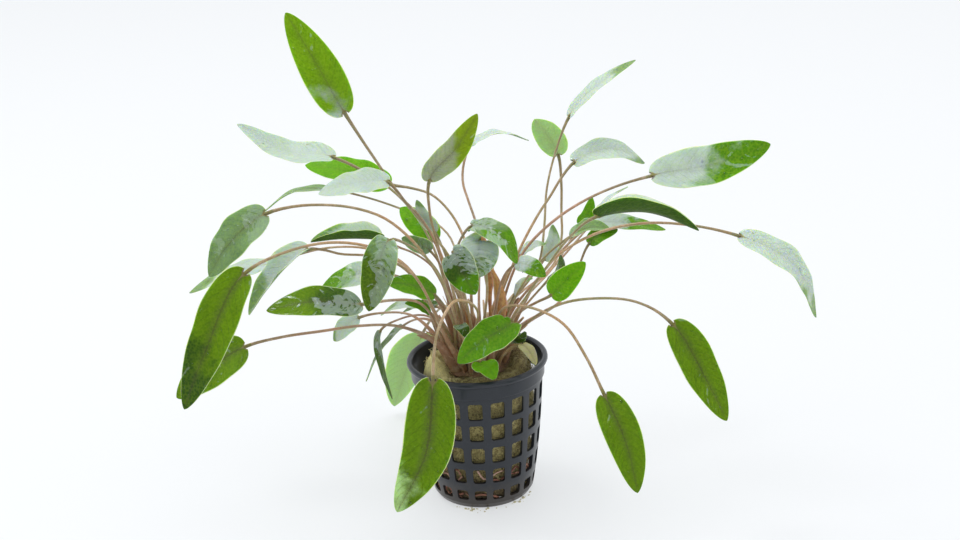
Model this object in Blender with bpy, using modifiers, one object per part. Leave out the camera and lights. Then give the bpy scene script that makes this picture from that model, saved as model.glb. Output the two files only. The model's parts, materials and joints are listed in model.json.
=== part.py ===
"""A potted aquarium plant, Cryptocoryne wendtii: about fifty stalked leaves in a net pot.

The origin is the centre of the pot's underside, +Z is up, and -Y faces the viewer.
Every size below is in millimetres and is turned into metres where a mesh is made.
"""

import math

import bmesh
import bpy
from mathutils import Matrix, Vector

MM = 0.001

# Net pot
POT_HEIGHT = 54.0
RIM_RADIUS = 26.0
RIM_DEPTH = 1.8
RIM_ROUNDING = 0.6
MOUTH_RADIUS = 23.7
COLLAR_RADIUS = 24.6
COLLAR_BOTTOM = 46.8
WALL = 1.2
FLOOR_THICKNESS = 1.5
FLOOR_RADIUS = 17.4
BODY_PROFILE = [(46.4, 23.9), (18.8, 21.4), (2.4, 18.8), (0.0, 17.4)]
POT_FACETS = 36
WINDOW_COLUMNS = 18
POT_TURN = math.radians(-4.0)
WINDOW_WIDTH = 5.2
WINDOW_TAPER = 0.022
WINDOW_ROWS = [(41.6, 6.5), (32.8, 6.5), (23.4, 6.5), (14.5, 6.0), (6.1, 4.2)]
DRAIN_SLOTS = 6
DRAIN_SLOT_SIZE = (6.0, 3.0)
DRAIN_SLOT_RADIUS = 11.0
CUTTER_REACH = 80.0
CUTTER_DEPTH = 6.0

# Mineral wool plug
WOOL_PROFILE = [(51.2, 0.0), (51.0, 7.0), (51.4, 13.0), (52.0, 17.5), (50.0, 20.4), (44.0, 21.0),
                (30.0, 20.0), (14.0, 18.0), (3.4, 16.6), (2.0, 15.0), (2.0, 0.0)]
WOOL_FACETS = 24
WOOL_LUMPS = [(-15.5, 4.0, 5.0, 4.6), (15.5, 5.0, 5.0, 3.6), (3.0, 16.5, 6.0, 2.2), (4.0, -16.5, 7.0, 1.2)]
WOOL_HOLLOW_RADIUS = 13.4
WOOL_TOP_START = 40.0
WOOL_TOP_BLEND = 10.0
CROWN_GAP = 0.4

# Crown: a low dome of fused leaf bases, half sunk in the wool
CROWN_RADIUS = 12.6
CROWN_BASE = 50.2
CROWN_TOP = 54.4
CROWN_EDGE = 0.8
CROWN_CHAMFER = 0.5
CROWN_STEPS = 5
CROWN_FACETS = 18

# Colours and roughness of the finishes
PLASTIC_COLOUR = (0.045, 0.052, 0.068)
PLASTIC_ROUGHNESS = 0.4
WOOL_COLOUR = (0.36, 0.27, 0.11)
WOOL_ROUGHNESS = 0.95
CROWN_COLOUR = (0.28, 0.15, 0.09)
CROWN_ROUGHNESS = 0.6
LEAF_ROUGHNESS = 0.3
TONES = {
    "green": (0.11, 0.22, 0.04),
    "olive": (0.13, 0.18, 0.02),
    "lime": (0.20, 0.40, 0.05),
    "dark": (0.05, 0.09, 0.03),
    "grey": (0.22, 0.28, 0.20),
    "withered": (0.45, 0.42, 0.28),
}

# Leaves
GOLDEN_ANGLE = math.radians(137.508)
ROOT_SPACING = 1.56
ROOT_GAP = 0.9
RISE_HEIGHT = 11.0
RISE_SHARE = 0.45
RISE_LEAN = 0.22
STALK_BASE_RADIUS = 1.0
STALK_RADIUS = 0.6
BLADE_HALF_THICKNESS = 0.45
BLADE_THINNING = 0.6
BLADE_STATIONS = (0.05, 0.12, 0.28, 0.48, 0.68, 0.85, 0.96)
BASE_FULLNESS = 0.35
TIP_TAPER = 0.65


def leaf(name, collar, tip, width, face, via=(), arch=2.0, sway=0.0, fold=0.1, turn=None,
         tone="green"):
    """One leaf: its stalk runs from the crown through the via points to the collar, where
    the blade starts. face is the way the blade's upper side looks, turn the way it looks
    at the tip if the blade is twisted, arch how far its middle is humped and sway how far
    it bends sideways, in millimetres, fold how far its edges are raised, as a share of its
    half width, and tone its colour."""
    return dict(name=name, collar=collar, tip=tip, width=width, face=face, via=via,
                arch=arch, sway=sway, fold=fold, turn=turn or face, tone=tone)


# Leaves in the order they grew, the youngest at the middle of the rosette.
LEAVES = [
    leaf("upright_centre", (-13, -8, 125), (5, -8, 148), 11, (0.25, -0.95, -0.2), [(-12, -3, 100)],
         tone="olive"),
    leaf("tall_left", (-43, 18, 144), (-61, 20, 181), 15, (0.2, -0.9, 0.2), [(-8, 5, 91), (-22, 12, 109)],
         tone="olive"),
    leaf("arched_centre", (1, -14, 109), (16, -20, 96), 12, (0.5, -0.45, 0.75), [(-6, -8, 94)], arch=5,
         tone="dark"),
    leaf("pale_right_top", (40, 24, 119), (66, 26, 116), 14, (0.1, -0.3, 0.95),
         [(22, 12, 98), (30, 18, 108)], arch=6, tone="grey"),
    leaf("small_folded_left", (-15, 0, 96), (-25, 1, 101), 6, (0.3, -0.9, 0.2), fold=0.4),
    leaf("centre_right_small", (16, -14, 94), (26, -18, 90), 8, (0.1, -0.6, 0.8), tone="lime"),
    leaf("thin_spear_left", (-13, 12, 99), (-19, 14, 111), 6, (-0.3, -0.6, 0.2)),
    leaf("arch_left", (-70, -22, 120), (-91, -24, 99), 15, (-0.5, -0.8, 0.5),
         [(-15, -9.5, 95), (-30, -14, 114), (-50, -18, 121)],
         arch=4, tone="grey"),
    leaf("large_pale_right", (67, 8, 117), (109, 6, 127), 16, (-0.15, -0.6, 0.75),
         [(21, 3, 95), (44, 5, 111)], arch=-3, turn=(0.1, -0.9, 0.4), tone="grey"),
    leaf("pale_mid_left", (-29, 8, 120), (-54, 7, 117), 13, (-0.1, -0.42, 0.9),
         [(-16, 5, 104), (-23, 9, 112)], tone="grey"),
    leaf("heart_centre", (3, -18, 105), (2, -24, 93), 14, (0.1, -0.9, 0.5), [(5, -13, 87)], tone="grey"),
    leaf("thin_pale_centre", (18, 12, 88), (28, 14, 91), 6, (0, -0.2, 0.9), tone="grey"),
    leaf("folded_top_left", (-31, -14, 106), (-56, -16, 107), 9, (0, 0, 1),
         [(-15, -4, 92), (-26, -11, 102)], arch=1, fold=1.0, tone="dark"),
    leaf("folded_striped_right", (36, -7, 101), (50, -9, 103), 10, (0, -0.15, 1), [(24, -6, 91)], fold=0.3),
    leaf("edge_on_left", (-53, 50, 105), (-81, 56, 95), 9, (-0.35, 0.1, 0.93),
         [(-9, 27, 93), (-23, 39, 98)], arch=4, tone="grey"),
    leaf("centre_glossy", (-6, -26, 104), (1, -32, 90), 12, (-0.3, -0.9, 0.4), [(-3, -16, 84)],
         tone="dark"),
    leaf("spear_right", (39, 30, 135), (64, 32, 154), 11, (-0.45, -0.15, 0.85),
         [(25, 13, 85), (29, 23, 109)], tone="grey"),
    leaf("white_green_left", (-34, -4, 90), (-55, -6, 85), 12, (-0.2, -0.4, 0.9), [(-16, -2, 81)]),
    leaf("right_front_hang", (43, -48, 57), (53, -54, 22), 13, (0.1, -1, 0.2),
         [(13, -23, 82), (30, -34, 79)], sway=-1.5, tone="olive"),
    leaf("lime_behind_left", (-30, 40, 109), (-62, 48, 116), 15, (0.1, -0.5, 0.9),
         [(-3, 24, 93), (-14, 34, 106)], tone="lime"),
    leaf("dark_hanging_centre", (-27, -42, 115), (-35, -50, 93), 12, (-0.2, -0.9, 0.3),
         [(-10, -23, 91), (-15, -31, 104)], tone="dark"),
    leaf("bluish_small", (15, 3, 76), (22, 3, 82), 5, (-0.4, -0.2, 0.8), [(10, 3, 66)], tone="grey"),
    leaf("pale_upper_left", (-50, 30, 124), (-84, 32, 138), 15, (0.33, -0.3, 0.9),
         [(-15, 14, 95), (-27, 23, 111)], arch=-4.5, tone="grey"),
    leaf("centre_front_bright", (13, -24, 76), (-7, -30, 64), 13.5, (-0.4, -0.7, 0.6), [(8, -17, 74)],
         tone="lime"),
    leaf("pale_back_right", (28, 42, 75), (32, 48, 87), 9, (0.6, -0.5, 0.2), tone="grey"),
    leaf("small_olive_left", (-16, -8, 75), (-25, -10, 80), 5, (0.2, -0.5, 0.8), tone="lime"),
    leaf("drooping_far_right", (93, -26, 104), (119, -28, 73), 14, (0.62, -0.45, 0.6),
         [(32, -10, 96), (59, -18, 108)], arch=8, tone="grey"),
    leaf("lime_behind_stalks", (-14, 23, 92), (-26, 30, 103), 11, (0.3, -0.8, 0.5), tone="lime"),
    leaf("small_green_centre", (-6, -17, 73), (-3, -22, 70), 5, (0.2, -0.6, 0.8), tone="dark"),
    leaf("under_arch_right", (45, 20, 95), (73, 22, 91), 11, (0, -0.2, 0.95), [(26, 11, 81)]),
    leaf("folded_far_left", (-76, 22, 86), (-107, 22, 76), 12, (-0.3, -0.2, 0.93),
         [(-28, 13, 89), (-52, 17, 93)], tone="grey"),
    leaf("dark_arch_right", (44, -28, 115), (78, -32, 109), 14, (0, 0.26, 0.97),
         [(28, -15, 95), (36, -21, 107)], arch=4, fold=0.7, tone="dark"),
    leaf("back_edge_on", (2, 60, 117), (25, 68, 115), 11, (0, 0.1, 1),
         [(2, 39, 93), (-2, 51, 105)], arch=4, tone="grey"),
    leaf("vivid_centre", (-14, -11, 83), (-31, -12, 89), 10, (0.3, -0.5, 0.8), [(-8, -9, 72)], tone="lime"),
    leaf("dark_grey_right", (28, 2, 82), (32, 2, 91), 8, (0.8, -0.5, 0), tone="dark"),
    leaf("beside_pot_left", (-37, 30, 53), (-34, 30, 24), 6, (-0.8, -0.5, 0.3), [(-19, 22, 62)],
         tone="dark"),
    leaf("cupped_front", (1, -21, 60), (6, -27, 55.8), 9, (0.2, -0.5, 0.8), [(4, -15, 65)], tone="lime"),
    leaf("blurred_behind_right", (48, 52, 86), (63, 62, 96), 10, (-0.4, 0.2, 0.8), [(33, 35, 76)],
         tone="grey"),
    leaf("striped_left", (-57, -18, 105), (-79, -22, 83), 13, (-0.6, -0.3, 0.7),
         [(-27, -9, 95), (-46, -13, 101)], fold=0.5, tone="grey"),
    leaf("dark_round_right", (13, -8, 62), (18, -11, 67), 5, (0.5, -0.8, 0.2), tone="dark"),
    leaf("dark_grey_left", (-15, 31, 62), (-29, 37, 57), 8, (-0.3, 0, 0.9), tone="dark"),
    leaf("big_left_front", (-76, -42, 106), (-100, -50, 61), 15.5, (-0.3, -0.9, 0.25),
         [(-25, -24, 101), (-46, -32, 112)], arch=4, tone="olive"),
    leaf("red_stalk_right", (44, 18, 89), (55, 20, 93), 8, (-0.2, -0.5, 0.8), [(33, 12, 70)]),
    leaf("pale_edge_left", (-22, 20, 67), (-36, 24, 62), 9, (-0.3, 0, 0.9), tone="grey"),
    leaf("lime_right", (27, -30, 88), (39, -34, 101), 9.5, (-0.4, -0.85, 0.1), [(17, -18, 78)], tone="lime"),
    leaf("back_green", (36, 68, 109), (27, 64, 125), 12, (0.1, 0.9, 0.3), [(34, 49, 75), (36, 59, 87)],
         tone="lime"),
    leaf("streaky_left", (-39, -32, 89), (-71, -36, 90), 14, (0, -0.45, 0.85), [(-21, -21, 85)], arch=3,
         tone="dark"),
    leaf("right_mid_hang", (69, -30, 74), (87, -34, 38), 14, (0.3, -0.85, 0.3),
         [(31, -9, 76), (57, -21, 80)], tone="olive"),
    leaf("thin_left", (-29, 36, 52), (-45, 44, 26), 8, (-0.85, 0, 0.5), [(-19, 26, 59)]),
    leaf("front_hanging", (-15, -56, 69), (-30, -62, 24), 17.5, (0, -1, 0.15),
         [(1, -25, 82), (-7, -40, 91), (-13, -50, 83)], sway=-4, tone="olive"),
    leaf("small_upright_right", (42, 40, 89), (47, 40, 100), 6, (0.3, -0.9, -0.1), [(32, 31, 77)],
         tone="lime"),
    leaf("small_pale_left", (-44, 18, 64), (-54, 18, 55), 8, (-0.4, -0.7, 0.5), [(-24, 11, 67)],
         tone="grey"),
    leaf("withered_front_right", (16, -14, 63), (21, -22, 58), 5, (0.3, -0.6, 0.6), tone="withered"),
    leaf("back_low_left", (-22, 56, 40), (-36, 69, 3), 19, (-0.3, 0.95, 0.2),
         [(-5, 24, 62), (-13, 42, 57)], tone="lime"),
    leaf("far_left_low", (-81, -26, 73), (-106, -31, 57), 16, (-0.4, -0.8, 0.6),
         [(-28, -14, 73), (-54, -20, 75)], tone="olive"),
]


def smooth_path(points, samples):
    """Points along a centripetal Catmull-Rom curve through the given points.
    samples holds (segment, fraction) pairs."""
    ends = [points[0] * 2 - points[1]] + points + [points[-1] * 2 - points[-2]]
    knots = [0.0]
    for a, b in zip(ends, ends[1:]):
        knots.append(knots[-1] + math.sqrt((b - a).length))
    path = []
    for segment, fraction in samples:
        p0, p1, p2, p3 = ends[segment:segment + 4]
        t0, t1, t2, t3 = knots[segment:segment + 4]
        t = t1 + (t2 - t1) * fraction
        a1 = p0.lerp(p1, (t - t0) / (t1 - t0))
        a2 = p1.lerp(p2, (t - t1) / (t2 - t1))
        a3 = p2.lerp(p3, (t - t2) / (t3 - t2))
        b1 = a1.lerp(a2, (t - t0) / (t2 - t0))
        b2 = a2.lerp(a3, (t - t1) / (t3 - t1))
        path.append(b1.lerp(b2, (t - t1) / (t2 - t1)))
    return path


def material(name, colour, roughness, metallic=0.0):
    """A Principled material of one plain colour."""
    made = bpy.data.materials.new(name)
    made.use_nodes = True
    shader = made.node_tree.nodes["Principled BSDF"]
    shader.inputs["Base Color"].default_value = (*colour, 1.0)
    shader.inputs["Roughness"].default_value = roughness
    shader.inputs["Metallic"].default_value = metallic
    return made


def add_object(name, mesh, collection, surface=None):
    """A new object for a mesh, in the given collection and material."""
    made = bpy.data.objects.new(name, mesh)
    collection.objects.link(made)
    if surface:
        mesh.materials.append(surface)
    return made


def mesh_from(bm, name):
    """A mesh from an edit mesh whose sizes are in millimetres."""
    bmesh.ops.scale(bm, vec=(MM, MM, MM), verts=bm.verts)
    bmesh.ops.recalc_face_normals(bm, faces=bm.faces)
    mesh = bpy.data.meshes.new(name)
    bm.to_mesh(mesh)
    bm.free()
    return mesh


def turned(name, profile, facets, collection, start=0.0):
    """An object turned about Z from a profile of (height, radius) pairs, outer side downwards,
    whose facets begin at the start angle."""
    bm = bmesh.new()
    across, along = math.cos(start), math.sin(start)
    points = [bm.verts.new((radius * across, radius * along, height)) for height, radius in profile]
    for a, b in zip(points, points[1:]):
        bm.edges.new((a, b))
    bmesh.ops.scale(bm, vec=(MM, MM, MM), verts=bm.verts)
    mesh = bpy.data.meshes.new(name)
    bm.to_mesh(mesh)
    bm.free()
    made = add_object(name, mesh, collection)
    screw = made.modifiers.new("turn", "SCREW")
    screw.steps = facets
    screw.render_steps = facets
    screw.use_merge_vertices = True
    screw.merge_threshold = 0.00001
    screw.use_smooth_shade = True
    return made


def add_box(bm, size, transform):
    """A box in an edit mesh."""
    scaled = transform @ Matrix.Diagonal((*size, 1.0))
    bmesh.ops.create_cube(bm, size=1.0, matrix=scaled)


def build_pot(collection, cutters, surface):
    """The net pot: a turned shell with rows of windows and drain slots cut from it."""
    inner_body = [(z, r - WALL) for z, r in BODY_PROFILE if z > 2.0 * FLOOR_THICKNESS]
    rim_edge = POT_HEIGHT - RIM_ROUNDING
    profile = [(rim_edge, RIM_RADIUS), (POT_HEIGHT - RIM_DEPTH, RIM_RADIUS),
               (POT_HEIGHT - RIM_DEPTH - RIM_ROUNDING, COLLAR_RADIUS), (COLLAR_BOTTOM, COLLAR_RADIUS)]
    profile += BODY_PROFILE + [(0.0, 0.0), (FLOOR_THICKNESS, 0.0), (FLOOR_THICKNESS, FLOOR_RADIUS)]
    profile += inner_body[::-1]
    profile += [(rim_edge, MOUTH_RADIUS), (POT_HEIGHT, MOUTH_RADIUS + RIM_ROUNDING),
                (POT_HEIGHT, RIM_RADIUS - RIM_ROUNDING), (rim_edge, RIM_RADIUS)]
    pot = turned("pot", profile, POT_FACETS, collection, POT_TURN)
    pot.data.materials.append(surface)

    bm = bmesh.new()
    for centre, height in WINDOW_ROWS:
        width = WINDOW_WIDTH - WINDOW_TAPER * (WINDOW_ROWS[0][0] - centre)
        for column in range(WINDOW_COLUMNS // 2):
            turn = Matrix.Rotation(POT_TURN + math.tau * column / WINDOW_COLUMNS, 4, "Z")
            place = turn @ Matrix.Translation((0.0, 0.0, centre))
            add_box(bm, (width, CUTTER_REACH, height), place)
    cutter = add_object("window_cutter", mesh_from(bm, "window_cutter"), cutters)

    bm = bmesh.new()
    for k in range(DRAIN_SLOTS):
        turn = Matrix.Rotation(math.tau * k / DRAIN_SLOTS, 4, "Z")
        place = turn @ Matrix.Translation((DRAIN_SLOT_RADIUS, 0.0, 0.0))
        add_box(bm, (*DRAIN_SLOT_SIZE, CUTTER_DEPTH), place)
    slots = add_object("slot_cutter", mesh_from(bm, "slot_cutter"), cutters)

    for tool in (cutter, slots):
        tool.hide_render = True
        tool.display_type = "WIRE"
        cut = pot.modifiers.new(tool.name, "BOOLEAN")
        cut.operation = "DIFFERENCE"
        cut.object = tool
        cut.use_self = tool is cutter
    return pot


def wool_top(x, y, z):
    """Height of a point of the wool, with its lumps raised and the crown's hollow let in."""
    share = max(0.0, min(1.0, (z - WOOL_TOP_START) / WOOL_TOP_BLEND))
    if share == 1.0 and math.hypot(x, y) < WOOL_HOLLOW_RADIUS:
        return CROWN_BASE - CROWN_GAP
    for lump_x, lump_y, spread, height in WOOL_LUMPS:
        distance = math.hypot(x - lump_x, y - lump_y) / spread
        z += share * height * math.exp(-distance * distance)
    return z


def build_wool(collection, surface):
    """The mineral wool plug: a turned form whose top is humped round the crown."""
    blank = turned("rock_wool_blank", WOOL_PROFILE, WOOL_FACETS, collection)
    evaluated = blank.evaluated_get(bpy.context.evaluated_depsgraph_get())
    mesh = bpy.data.meshes.new_from_object(evaluated)
    bpy.data.objects.remove(blank)
    for vertex in mesh.vertices:
        x, y, z = vertex.co / MM
        vertex.co.z = wool_top(x, y, z) * MM
    mesh.name = "rock_wool"
    return add_object("rock_wool", mesh, collection, surface)


def crown_height(radius):
    """Height of the crown's domed top at a distance from its axis."""
    share = min(1.0, radius / CROWN_RADIUS)
    edge = CROWN_BASE + CROWN_EDGE
    return edge + (CROWN_TOP - edge) * (1.0 - share * share)


def build_crown(collection, surface):
    """The crown: a low dome turned about the pot's axis."""
    radii = [CROWN_RADIUS * k / CROWN_STEPS for k in range(CROWN_STEPS + 1)]
    profile = [(crown_height(r), r) for r in radii]
    profile += [(CROWN_BASE, CROWN_RADIUS - CROWN_CHAMFER), (CROWN_BASE, 0.0)]
    crown = turned("crown", profile, CROWN_FACETS, collection)
    crown.data.materials.append(surface)
    return crown


def blade_width(share):
    """Half width of a blade along its length, as a share of the widest half width."""
    peak = BASE_FULLNESS / (BASE_FULLNESS + TIP_TAPER)
    widest = peak ** BASE_FULLNESS * (1.0 - peak) ** TIP_TAPER
    return share ** BASE_FULLNESS * (1.0 - share) ** TIP_TAPER / widest


def leaf_spine(spec, order):
    """The points that a leaf's middle line passes through, from the crown to its tip."""
    angle = GOLDEN_ANGLE * order
    radius = ROOT_SPACING * math.sqrt(order + 0.5)
    foot = Vector((radius * math.cos(angle), radius * math.sin(angle), crown_height(radius) + ROOT_GAP))
    collar, tip = Vector(spec["collar"]), Vector(spec["tip"])
    stalk = [Vector(point) for point in spec["via"]] + [collar]
    lean = (stalk[0] - foot) * RISE_LEAN
    height = min(RISE_HEIGHT, (stalk[0].z - foot.z) * RISE_SHARE)
    rise = foot + Vector((lean.x, lean.y, height))
    face = Vector(spec["face"]).normalized()
    sideways = (tip - collar).cross(face).normalized()
    middle = (collar + tip) / 2 + face * spec["arch"] + sideways * spec["sway"]
    return [foot, rise] + stalk + [middle, tip]


def leaf_rings(spec, order):
    """Rings of four points (left edge, upper face, right edge, lower face) and the tip point."""
    spine = leaf_spine(spec, order)
    stalk_segments = len(spine) - 3
    stalk = [(0, 0.0), (1, 0.0)] + [(s, k / 2) for s in range(2, stalk_segments) for k in range(2)]
    blade = [(stalk_segments + int(2 * t), 2 * t - int(2 * t)) for t in BLADE_STATIONS]
    samples = stalk + [(stalk_segments, 0.0)] + blade + [(stalk_segments + 1, 1.0)]
    path = smooth_path(spine, samples)
    half = spec["width"] / 2.0
    rings = []
    for i, point in enumerate(path[:-1]):
        along = (path[i + 1] - path[max(i - 1, 0)]).normalized()
        share = 0.0 if i <= len(stalk) else BLADE_STATIONS[i - len(stalk) - 1]
        face = Vector(spec["face"]).normalized().lerp(Vector(spec["turn"]).normalized(), share)
        side = along.cross(face).normalized()
        up = side.cross(along)
        radius = STALK_RADIUS if i else STALK_BASE_RADIUS
        if share:
            wide = max(radius, half * blade_width(share))
            thick = BLADE_HALF_THICKNESS * (1.0 - BLADE_THINNING * share)
            raised = up * (spec["fold"] * wide)
        else:
            wide = thick = radius
            raised = Vector()
        rings.append([point - side * wide + raised, point + up * thick,
                      point + side * wide + raised, point - up * thick])
    return rings, path[-1]


def build_leaf(spec, order, collection, surface):
    """One leaf, lofted from its round stalk into its flat blade. Each strip is split from the
    blade's edge, alike above and below, so that the two sides of a twisted blade can't cross."""
    rings, tip = leaf_rings(spec, order)
    bm = bmesh.new()
    loops = [[bm.verts.new(point) for point in ring] for ring in rings]
    bm.faces.new(loops[0])
    for lower, upper in zip(loops, loops[1:]):
        for edge, face in ((0, 1), (2, 1), (2, 3), (0, 3)):
            bm.faces.new((lower[edge], lower[face], upper[face]))
            bm.faces.new((lower[edge], upper[face], upper[edge]))
    point = bm.verts.new(tip)
    for k in range(4):
        bm.faces.new((loops[-1][k], loops[-1][(k + 1) % 4], point))
    name = "leaf_" + spec["name"]
    mesh = mesh_from(bm, name)
    mesh.shade_smooth()
    return add_object(name, mesh, collection, surface)


def build():
    """Clear the scene and model the whole potted plant."""
    for old in list(bpy.data.objects):
        bpy.data.objects.remove(old)
    plant = bpy.data.collections.new("potted_cryptocoryne")
    cutters = bpy.data.collections.new("cutters")
    for collection in (plant, cutters):
        bpy.context.scene.collection.children.link(collection)
    build_pot(plant, cutters, material("dark_plastic", PLASTIC_COLOUR, PLASTIC_ROUGHNESS))
    build_wool(plant, material("mineral_wool", WOOL_COLOUR, WOOL_ROUGHNESS))
    build_crown(plant, material("crown_tissue", CROWN_COLOUR, CROWN_ROUGHNESS))
    surfaces = {tone: material("leaf_" + tone, colour, LEAF_ROUGHNESS)
                for tone, colour in TONES.items()}
    for order, spec in enumerate(LEAVES):
        build_leaf(spec, order, plant, surfaces[spec["tone"]])
    base = bpy.data.objects.new("potted_plant", None)
    plant.objects.link(base)
    for piece in plant.objects:
        if piece is not base:
            piece.parent = base


build()
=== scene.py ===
"""Looks for a potted aquarium plant: a Cryptocoryne with some fifty leaves in a net pot.

All lengths are in metres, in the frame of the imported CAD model: the origin is the middle
of the pot's underside, +Z is up and -Y faces the viewer. Each leaf, the pot, the wool and
the crown are built around the CAD solid of the same name and stand for it.
"""

import json
import math

import bmesh
import bpy
import numpy as np
from mathutils import Matrix, Vector, noise

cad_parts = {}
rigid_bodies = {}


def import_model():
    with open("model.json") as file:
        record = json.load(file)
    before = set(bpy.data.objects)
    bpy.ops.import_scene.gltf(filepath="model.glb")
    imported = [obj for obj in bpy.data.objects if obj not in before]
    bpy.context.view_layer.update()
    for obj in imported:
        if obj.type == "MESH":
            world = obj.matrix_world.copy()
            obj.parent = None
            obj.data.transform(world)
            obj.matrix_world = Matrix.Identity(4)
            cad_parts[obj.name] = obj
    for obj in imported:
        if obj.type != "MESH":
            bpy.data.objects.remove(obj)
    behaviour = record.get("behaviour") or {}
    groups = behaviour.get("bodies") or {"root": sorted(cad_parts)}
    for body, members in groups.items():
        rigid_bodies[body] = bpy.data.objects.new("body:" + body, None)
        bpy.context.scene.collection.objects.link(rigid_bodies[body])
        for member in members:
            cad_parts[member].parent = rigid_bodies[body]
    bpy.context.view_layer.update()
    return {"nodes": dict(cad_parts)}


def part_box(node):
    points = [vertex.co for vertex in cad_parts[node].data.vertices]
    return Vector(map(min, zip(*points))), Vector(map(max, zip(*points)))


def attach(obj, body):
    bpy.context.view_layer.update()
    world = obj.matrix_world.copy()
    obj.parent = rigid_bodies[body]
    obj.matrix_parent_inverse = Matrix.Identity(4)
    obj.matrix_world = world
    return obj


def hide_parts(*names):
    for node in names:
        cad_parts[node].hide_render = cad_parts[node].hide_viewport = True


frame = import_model()
MM = 0.001


# Camera: a long lens some 60 cm from the plant, looking down on it by twenty degrees and
# turned a little about its own axis, so that the object stands in the frame as in the
# photograph, which is 960 by 540 with the lens's axis at its middle.
view_distance = 0.614
view_elevation = math.radians(20.4)
view_roll = -0.054
view_target = Vector((0.0028, 0.0, 0.0873))
forward = Vector((0.0, math.cos(view_elevation), -math.sin(view_elevation)))
level = Vector((1.0, 0.0, 0.0))
raised = level.cross(forward)
right = level * math.cos(view_roll) + raised * math.sin(view_roll)
up = raised * math.cos(view_roll) - level * math.sin(view_roll)
lens = bpy.data.cameras.new("camera")
lens.sensor_width = 36.0
lens.lens = 63.75
lens.clip_start = 0.05
lens.clip_end = 40.0
camera = bpy.data.objects.new("camera", lens)
bpy.context.scene.collection.objects.link(camera)
camera.matrix_world = Matrix.Translation(view_target - forward * view_distance) @ Matrix(
    (right, up, -forward)).transposed().to_4x4()
bpy.context.scene.camera = camera


# Studio: a table of plain white acrylic, lit from below as well, that runs out of sight, a
# white room brighter behind the plant than in front, large soft lights above, on either side
# and low in front, and a small bright lamp that makes the wet blades glint.
class Value:
    """One output of a node. Arithmetic on it adds Math nodes to the same tree."""

    def __init__(self, maker, socket):
        self.maker = maker
        self.socket = socket

    def maths(self, operation, *terms):
        return self.maker.node("ShaderNodeMath", {"operation": operation}, dict(enumerate(terms)))

    def __add__(self, other):
        return self.maths("ADD", self, other)

    def __sub__(self, other):
        return self.maths("SUBTRACT", self, other)

    def __rsub__(self, other):
        return self.maths("SUBTRACT", other, self)

    def __mul__(self, other):
        return self.maths("MULTIPLY", self, other)

    def __truediv__(self, other):
        return self.maths("DIVIDE", self, other)

    def __pow__(self, other):
        return self.maths("POWER", self, other)

    __radd__ = __add__
    __rmul__ = __mul__


class Maker:
    """Adds nodes to one node tree: each node's settings are set first, then its inputs."""

    def __init__(self, tree):
        self.tree = tree

    def node(self, kind, settings=None, inputs=None, output=0):
        made = self.tree.nodes.new(kind)
        for name, value in (settings or {}).items():
            if name == "stops":
                ramp = made.color_ramp.elements
                while len(ramp) < len(value):
                    ramp.new(1.0)
                for stop, (place, colour) in zip(ramp, value):
                    stop.position = place
                    stop.color = (*colour, 1.0)
            else:
                setattr(made, name, value)
        for name, value in (inputs or {}).items():
            self.feed(made.inputs[name], value)
        return Value(self, made.outputs[output])

    def feed(self, socket, value):
        if isinstance(value, Value):
            self.tree.links.new(value.socket, socket)
        elif hasattr(value, "__len__") and len(value) == 3 and socket.type == "RGBA":
            socket.default_value = (*value, 1.0)
        else:
            socket.default_value = value

    def blend(self, share, first, second):
        """A colour that goes from first to second as share goes from 0 to 1."""
        return self.node("ShaderNodeMix", {"data_type": "RGBA"}, {0: share, 6: first, 7: second}, 2)

    def step(self, value, low, high):
        """0 below low and 1 above high, with a smooth change between them."""
        return self.node("ShaderNodeMapRange", {"interpolation_type": "SMOOTHSTEP"},
                         {"Value": value, "From Min": low, "From Max": high})

    def noise(self, scale, place, detail=3.0, roughness=0.5, distortion=0.0):
        """Noise of the given number of cells per unit of place."""
        return self.node("ShaderNodeTexNoise", {},
                         {"Vector": place, "Scale": scale, "Detail": detail, "Roughness": roughness,
                          "Distortion": distortion})


def new_finish(name, **constants):
    """A material with the given constant sockets, its maker and its Principled shader."""
    finish = bpy.data.materials.new(name)
    finish.use_nodes = True
    shader = finish.node_tree.nodes["Principled BSDF"]
    for socket, value in constants.items():
        shader.inputs[socket.replace("_", " ")].default_value = value
    return finish, Maker(finish.node_tree), shader


def new_object(name, mesh, finish=None):
    """An object for a mesh, linked to the scene."""
    made = bpy.data.objects.new(name, mesh)
    bpy.context.scene.collection.objects.link(made)
    if finish:
        mesh.materials.append(finish)
    return made


table_radius = 60.0
bm = bmesh.new()
bmesh.ops.create_circle(bm, cap_ends=True, segments=64, radius=table_radius)
table_mesh = bpy.data.meshes.new("table")
bm.to_mesh(table_mesh)
bm.free()
table_finish, make, shader = new_finish("white_table", Roughness=0.6, Specular_IOR_Level=0.2,
                                        Emission_Color=(0.97, 0.985, 1.0, 1.0), Emission_Strength=0.55)
place = make.node("ShaderNodeTexCoord", output=3)
cloud = make.noise(0.9, place, 1.0)
make.feed(shader.inputs["Base Color"], make.blend(cloud, (0.300, 0.305, 0.310), (0.315, 0.320, 0.325)))
table = new_object("table", table_mesh, table_finish)

world = bpy.data.worlds.new("white_room")
bpy.context.scene.world = world
world.use_nodes = True
make = Maker(world.node_tree)
direction = make.node("ShaderNodeSeparateXYZ", {}, {0: make.node("ShaderNodeTexCoord")}, 1)
lift = make.node("ShaderNodeSeparateXYZ", {}, {0: make.node("ShaderNodeTexCoord")}, 2)
brightness = make.step(direction + 0.7 * lift, -0.75, 0.35)
wall = make.blend(brightness, (0.30, 0.31, 0.33), (0.92, 0.95, 0.98))
make.feed(world.node_tree.nodes["Background"].inputs["Color"], wall)


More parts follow.
